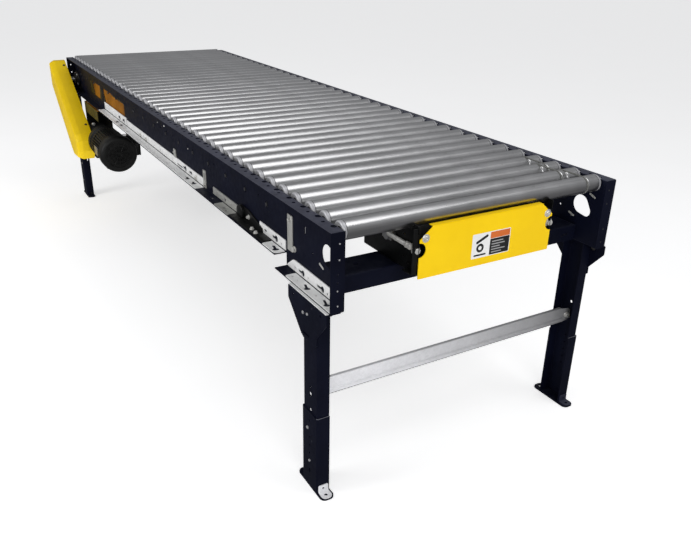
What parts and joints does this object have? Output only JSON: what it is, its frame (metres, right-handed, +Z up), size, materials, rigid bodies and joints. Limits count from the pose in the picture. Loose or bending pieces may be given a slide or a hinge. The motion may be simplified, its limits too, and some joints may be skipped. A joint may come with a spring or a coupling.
{
  "type": "roller conveyor",
  "caption": "Level powered roller conveyor bed: flat belt under steel rollers in outward channel frames, tail take-up, side chain drive and two height adjustable H supports.",
  "frame": {"origin": "on the floor, at the bottom centre of the bounding box", "axes": "+Z up; +Y along the bed from the tail end to the drive end; +X to the right when looking along +Y, the drive being on the -X side"},
  "size_m": [1.019, 3.0614, 0.7811],
  "materials": {
    "navy_paint": "satin navy powder coat",
    "yellow_paint": "gloss safety yellow",
    "amber_paint": "satin amber yellow",
    "black_paint": "satin black",
    "galvanised": "drawn and galvanised roller tube",
    "bright_steel": "turned steel",
    "belt_rubber": "black friction surfaced belt",
    "reducer_casting": "black painted casting",
    "motor_shell": "black painted shell"
  },
  "bodies": {
    "bed": {"left_side_channel": "navy_paint", "right_side_channel": "navy_paint", "near_leg_frame": "navy_paint", "far_leg_frame": "navy_paint", "tail_cross_member": "navy_paint", "takeup_frame": "black_paint", "tail_guard": "yellow_paint", "drive_belt": "belt_rubber", "drive_frame": "amber_paint", "gear_reducer": "reducer_casting", "motor": "motor_shell", "chain_guard": "yellow_paint"},
    "takeup_carriage": {"takeup_axle": "bright_steel"},
    "tail_pulley": {"tail_pulley": "bright_steel"},
    "drive_pulley": {"drive_pulley": "bright_steel"},
    "output_sprocket": {"output_sprocket": "bright_steel"},
    "roller_01": {"roller_01": "galvanised"},
    "roller_02": {"roller_02": "galvanised"},
    "roller_03": {"roller_03": "galvanised"},
    "roller_04": {"roller_04": "galvanised"},
    "roller_05": {"roller_05": "galvanised"},
    "roller_06": {"roller_06": "galvanised"},
    "roller_07": {"roller_07": "galvanised"},
    "roller_08": {"roller_08": "galvanised"},
    "roller_09": {"roller_09": "galvanised"},
    "roller_10": {"roller_10": "galvanised"},
    "roller_11": {"roller_11": "galvanised"},
    "roller_12": {"roller_12": "galvanised"},
    "roller_13": {"roller_13": "galvanised"},
    "roller_14": {"roller_14": "galvanised"},
    "roller_15": {"roller_15": "galvanised"},
    "roller_16": {"roller_16": "galvanised"},
    "roller_17": {"roller_17": "galvanised"},
    "roller_18": {"roller_18": "galvanised"},
    "roller_19": {"roller_19": "galvanised"},
    "roller_20": {"roller_20": "galvanised"},
    "roller_21": {"roller_21": "galvanised"},
    "roller_22": {"roller_22": "galvanised"},
    "roller_23": {"roller_23": "galvanised"},
    "roller_24": {"roller_24": "galvanised"},
    "roller_25": {"roller_25": "galvanised"},
    "roller_26": {"roller_26": "galvanised"},
    "roller_27": {"roller_27": "galvanised"},
    "roller_28": {"roller_28": "galvanised"},
    "roller_29": {"roller_29": "galvanised"},
    "roller_30": {"roller_30": "galvanised"},
    "roller_31": {"roller_31": "galvanised"},
    "roller_32": {"roller_32": "galvanised"},
    "roller_33": {"roller_33": "galvanised"},
    "roller_34": {"roller_34": "galvanised"},
    "roller_35": {"roller_35": "galvanised"},
    "roller_36": {"roller_36": "galvanised"},
    "roller_37": {"roller_37": "galvanised"},
    "roller_38": {"roller_38": "galvanised"},
    "roller_39": {"roller_39": "galvanised"},
    "roller_40": {"roller_40": "galvanised"},
    "near_left_lower_leg": {"near_left_lower_leg": "navy_paint"},
    "near_right_lower_leg": {"near_right_lower_leg": "navy_paint"},
    "far_left_lower_leg": {"far_left_lower_leg": "navy_paint"},
    "far_right_lower_leg": {"far_right_lower_leg": "navy_paint"}
  },
  "joints": [
    {"name": "takeup_slide", "type": "slide", "parent": "bed", "child": "takeup_carriage", "axis": [0, 1, 0], "range_m": [0, 0.04]},
    {"name": "tail_pulley_spin", "type": "hinge", "parent": "takeup_carriage", "child": "tail_pulley", "pos_m": [0.04275, -1.39535, 0.68465], "axis": [1, 0, 0], "continuous": true},
    {"name": "drive_pulley_spin", "type": "hinge", "parent": "bed", "child": "drive_pulley", "pos_m": [0.04275, 1.43965, 0.6656], "axis": [1, 0, 0], "continuous": true},
    {"name": "output_sprocket_spin", "type": "hinge", "parent": "bed", "child": "output_sprocket", "pos_m": [-0.45845, 1.06465, 0.376], "axis": [1, 0, 0], "continuous": true},
    {"name": "roller_01_spin", "type": "hinge", "parent": "bed", "child": "roller_01", "pos_m": [0.04275, -1.48725, 0.757], "axis": [1, 0, 0], "continuous": true},
    {"name": "roller_02_spin", "type": "hinge", "parent": "bed", "child": "roller_02", "pos_m": [0.04275, -1.41105, 0.757], "axis": [1, 0, 0], "continuous": true},
    {"name": "roller_03_spin", "type": "hinge", "parent": "bed", "child": "roller_03", "pos_m": [0.04275, -1.33485, 0.757], "axis": [1, 0, 0], "continuous": true},
    {"name": "roller_04_spin", "type": "hinge", "parent": "bed", "child": "roller_04", "pos_m": [0.04275, -1.25865, 0.757], "axis": [1, 0, 0], "continuous": true},
    {"name": "roller_05_spin", "type": "hinge", "parent": "bed", "child": "roller_05", "pos_m": [0.04275, -1.18245, 0.757], "axis": [1, 0, 0], "continuous": true},
    {"name": "roller_06_spin", "type": "hinge", "parent": "bed", "child": "roller_06", "pos_m": [0.04275, -1.10625, 0.757], "axis": [1, 0, 0], "continuous": true},
    {"name": "roller_07_spin", "type": "hinge", "parent": "bed", "child": "roller_07", "pos_m": [0.04275, -1.03005, 0.757], "axis": [1, 0, 0], "continuous": true},
    {"name": "roller_08_spin", "type": "hinge", "parent": "bed", "child": "roller_08", "pos_m": [0.04275, -0.95385, 0.757], "axis": [1, 0, 0], "continuous": true},
    {"name": "roller_09_spin", "type": "hinge", "parent": "bed", "child": "roller_09", "pos_m": [0.04275, -0.87765, 0.757], "axis": [1, 0, 0], "continuous": true},
    {"name": "roller_10_spin", "type": "hinge", "parent": "bed", "child": "roller_10", "pos_m": [0.04275, -0.80145, 0.757], "axis": [1, 0, 0], "continuous": true},
    {"name": "roller_11_spin", "type": "hinge", "parent": "bed", "child": "roller_11", "pos_m": [0.04275, -0.72525, 0.757], "axis": [1, 0, 0], "continuous": true},
    {"name": "roller_12_spin", "type": "hinge", "parent": "bed", "child": "roller_12", "pos_m": [0.04275, -0.64905, 0.757], "axis": [1, 0, 0], "continuous": true},
    {"name": "roller_13_spin", "type": "hinge", "parent": "bed", "child": "roller_13", "pos_m": [0.04275, -0.57285, 0.757], "axis": [1, 0, 0], "continuous": true},
    {"name": "roller_14_spin", "type": "hinge", "parent": "bed", "child": "roller_14", "pos_m": [0.04275, -0.49665, 0.757], "axis": [1, 0, 0], "continuous": true},
    {"name": "roller_15_spin", "type": "hinge", "parent": "bed", "child": "roller_15", "pos_m": [0.04275, -0.42045, 0.757], "axis": [1, 0, 0], "continuous": true},
    {"name": "roller_16_spin", "type": "hinge", "parent": "bed", "child": "roller_16", "pos_m": [0.04275, -0.34425, 0.757], "axis": [1, 0, 0], "continuous": true},
    {"name": "roller_17_spin", "type": "hinge", "parent": "bed", "child": "roller_17", "pos_m": [0.04275, -0.26805, 0.757], "axis": [1, 0, 0], "continuous": true},
    {"name": "roller_18_spin", "type": "hinge", "parent": "bed", "child": "roller_18", "pos_m": [0.04275, -0.19185, 0.757], "axis": [1, 0, 0], "continuous": true},
    {"name": "roller_19_spin", "type": "hinge", "parent": "bed", "child": "roller_19", "pos_m": [0.04275, -0.11565, 0.757], "axis": [1, 0, 0], "continuous": true},
    {"name": "roller_20_spin", "type": "hinge", "parent": "bed", "child": "roller_20", "pos_m": [0.04275, -0.03945, 0.757], "axis": [1, 0, 0], "continuous": true},
    {"name": "roller_21_spin", "type": "hinge", "parent": "bed", "child": "roller_21", "pos_m": [0.04275, 0.03675, 0.757], "axis": [1, 0, 0], "continuous": true},
    {"name": "roller_22_spin", "type": "hinge", "parent": "bed", "child": "roller_22", "pos_m": [0.04275, 0.11295, 0.757], "axis": [1, 0, 0], "continuous": true},
    {"name": "roller_23_spin", "type": "hinge", "parent": "bed", "child": "roller_23", "pos_m": [0.04275, 0.18915, 0.757], "axis": [1, 0, 0], "continuous": true},
    {"name": "roller_24_spin", "type": "hinge", "parent": "bed", "child": "roller_24", "pos_m": [0.04275, 0.26535, 0.757], "axis": [1, 0, 0], "continuous": true},
    {"name": "roller_25_spin", "type": "hinge", "parent": "bed", "child": "roller_25", "pos_m": [0.04275, 0.34155, 0.757], "axis": [1, 0, 0], "continuous": true},
    {"name": "roller_26_spin", "type": "hinge", "parent": "bed", "child": "roller_26", "pos_m": [0.04275, 0.41775, 0.757], "axis": [1, 0, 0], "continuous": true},
    {"name": "roller_27_spin", "type": "hinge", "parent": "bed", "child": "roller_27", "pos_m": [0.04275, 0.49395, 0.757], "axis": [1, 0, 0], "continuous": true},
    {"name": "roller_28_spin", "type": "hinge", "parent": "bed", "child": "roller_28", "pos_m": [0.04275, 0.57015, 0.757], "axis": [1, 0, 0], "continuous": true},
    {"name": "roller_29_spin", "type": "hinge", "parent": "bed", "child": "roller_29", "pos_m": [0.04275, 0.64635, 0.757], "axis": [1, 0, 0], "continuous": true},
    {"name": "roller_30_spin", "type": "hinge", "parent": "bed", "child": "roller_30", "pos_m": [0.04275, 0.72255, 0.757], "axis": [1, 0, 0], "continuous": true},
    {"name": "roller_31_spin", "type": "hinge", "parent": "bed", "child": "roller_31", "pos_m": [0.04275, 0.79875, 0.757], "axis": [1, 0, 0], "continuous": true},
    {"name": "roller_32_spin", "type": "hinge", "parent": "bed", "child": "roller_32", "pos_m": [0.04275, 0.87495, 0.757], "axis": [1, 0, 0], "continuous": true},
    {"name": "roller_33_spin", "type": "hinge", "parent": "bed", "child": "roller_33", "pos_m": [0.04275, 0.95115, 0.757], "axis": [1, 0, 0], "continuous": true},
    {"name": "roller_34_spin", "type": "hinge", "parent": "bed", "child": "roller_34", "pos_m": [0.04275, 1.02735, 0.757], "axis": [1, 0, 0], "continuous": true},
    {"name": "roller_35_spin", "type": "hinge", "parent": "bed", "child": "roller_35", "pos_m": [0.04275, 1.10355, 0.757], "axis": [1, 0, 0], "continuous": true},
    {"name": "roller_36_spin", "type": "hinge", "parent": "bed", "child": "roller_36", "pos_m": [0.04275, 1.17975, 0.757], "axis": [1, 0, 0], "continuous": true},
    {"name": "roller_37_spin", "type": "hinge", "parent": "bed", "child": "roller_37", "pos_m": [0.04275, 1.25595, 0.757], "axis": [1, 0, 0], "continuous": true},
    {"name": "roller_38_spin", "type": "hinge", "parent": "bed", "child": "roller_38", "pos_m": [0.04275, 1.33215, 0.757], "axis": [1, 0, 0], "continuous": true},
    {"name": "roller_39_spin", "type": "hinge", "parent": "bed", "child": "roller_39", "pos_m": [0.04275, 1.40835, 0.757], "axis": [1, 0, 0], "continuous": true},
    {"name": "roller_40_spin", "type": "hinge", "parent": "bed", "child": "roller_40", "pos_m": [0.04275, 1.48455, 0.757], "axis": [1, 0, 0], "continuous": true},
    {"name": "near_left_leg_height", "type": "slide", "parent": "bed", "child": "near_left_lower_leg", "axis": [0, 0, -1], "range_m": [-0.1016, 0.1016]},
    {"name": "near_right_leg_height", "type": "slide", "parent": "bed", "child": "near_right_lower_leg", "axis": [0, 0, -1], "range_m": [-0.1016, 0.1016]},
    {"name": "far_left_leg_height", "type": "slide", "parent": "bed", "child": "far_left_lower_leg", "axis": [0, 0, -1], "range_m": [-0.1016, 0.1016]},
    {"name": "far_right_leg_height", "type": "slide", "parent": "bed", "child": "far_right_lower_leg", "axis": [0, 0, -1], "range_m": [-0.1016, 0.1016]}
  ],
  "couplings": [
    {"joint": "tail_pulley_spin", "follows": "drive_pulley_spin", "ratio": 1.4119},
    {"joint": "output_sprocket_spin", "follows": "drive_pulley_spin", "ratio": 0.8},
    {"joint": "roller_01_spin", "follows": "drive_pulley_spin", "ratio": -2.7062},
    {"joint": "roller_02_spin", "follows": "drive_pulley_spin", "ratio": -2.7062},
    {"joint": "roller_03_spin", "follows": "drive_pulley_spin", "ratio": -2.7062},
    {"joint": "roller_04_spin", "follows": "drive_pulley_spin", "ratio": -2.7062},
    {"joint": "roller_05_spin", "follows": "drive_pulley_spin", "ratio": -2.7062},
    {"joint": "roller_06_spin", "follows": "drive_pulley_spin", "ratio": -2.7062},
    {"joint": "roller_07_spin", "follows": "drive_pulley_spin", "ratio": -2.7062},
    {"joint": "roller_08_spin", "follows": "drive_pulley_spin", "ratio": -2.7062},
    {"joint": "roller_09_spin", "follows": "drive_pulley_spin", "ratio": -2.7062},
    {"joint": "roller_10_spin", "follows": "drive_pulley_spin", "ratio": -2.7062},
    {"joint": "roller_11_spin", "follows": "drive_pulley_spin", "ratio": -2.7062},
    {"joint": "roller_12_spin", "follows": "drive_pulley_spin", "ratio": -2.7062},
    {"joint": "roller_13_spin", "follows": "drive_pulley_spin", "ratio": -2.7062},
    {"joint": "roller_14_spin", "follows": "drive_pulley_spin", "ratio": -2.7062},
    {"joint": "roller_15_spin", "follows": "drive_pulley_spin", "ratio": -2.7062},
    {"joint": "roller_16_spin", "follows": "drive_pulley_spin", "ratio": -2.7062},
    {"joint": "roller_17_spin", "follows": "drive_pulley_spin", "ratio": -2.7062},
    {"joint": "roller_18_spin", "follows": "drive_pulley_spin", "ratio": -2.7062},
    {"joint": "roller_19_spin", "follows": "drive_pulley_spin", "ratio": -2.7062},
    {"joint": "roller_20_spin", "follows": "drive_pulley_spin", "ratio": -2.7062},
    {"joint": "roller_21_spin", "follows": "drive_pulley_spin", "ratio": -2.7062},
    {"joint": "roller_22_spin", "follows": "drive_pulley_spin", "ratio": -2.7062},
    {"joint": "roller_23_spin", "follows": "drive_pulley_spin", "ratio": -2.7062},
    {"joint": "roller_24_spin", "follows": "drive_pulley_spin", "ratio": -2.7062},
    {"joint": "roller_25_spin", "follows": "drive_pulley_spin", "ratio": -2.7062},
    {"joint": "roller_26_spin", "follows": "drive_pulley_spin", "ratio": -2.7062},
    {"joint": "roller_27_spin", "follows": "drive_pulley_spin", "ratio": -2.7062},
    {"joint": "roller_28_spin", "follows": "drive_pulley_spin", "ratio": -2.7062},
    {"joint": "roller_29_spin", "follows": "drive_pulley_spin", "ratio": -2.7062},
    {"joint": "roller_30_spin", "follows": "drive_pulley_spin", "ratio": -2.7062},
    {"joint": "roller_31_spin", "follows": "drive_pulley_spin", "ratio": -2.7062},
    {"joint": "roller_32_spin", "follows": "drive_pulley_spin", "ratio": -2.7062},
    {"joint": "roller_33_spin", "follows": "drive_pulley_spin", "ratio": -2.7062},
    {"joint": "roller_34_spin", "follows": "drive_pulley_spin", "ratio": -2.7062},
    {"joint": "roller_35_spin", "follows": "drive_pulley_spin", "ratio": -2.7062},
    {"joint": "roller_36_spin", "follows": "drive_pulley_spin", "ratio": -2.7062},
    {"joint": "roller_37_spin", "follows": "drive_pulley_spin", "ratio": -2.7062},
    {"joint": "roller_38_spin", "follows": "drive_pulley_spin", "ratio": -2.7062},
    {"joint": "roller_39_spin", "follows": "drive_pulley_spin", "ratio": -2.7062},
    {"joint": "roller_40_spin", "follows": "drive_pulley_spin", "ratio": -2.7062}
  ]
}
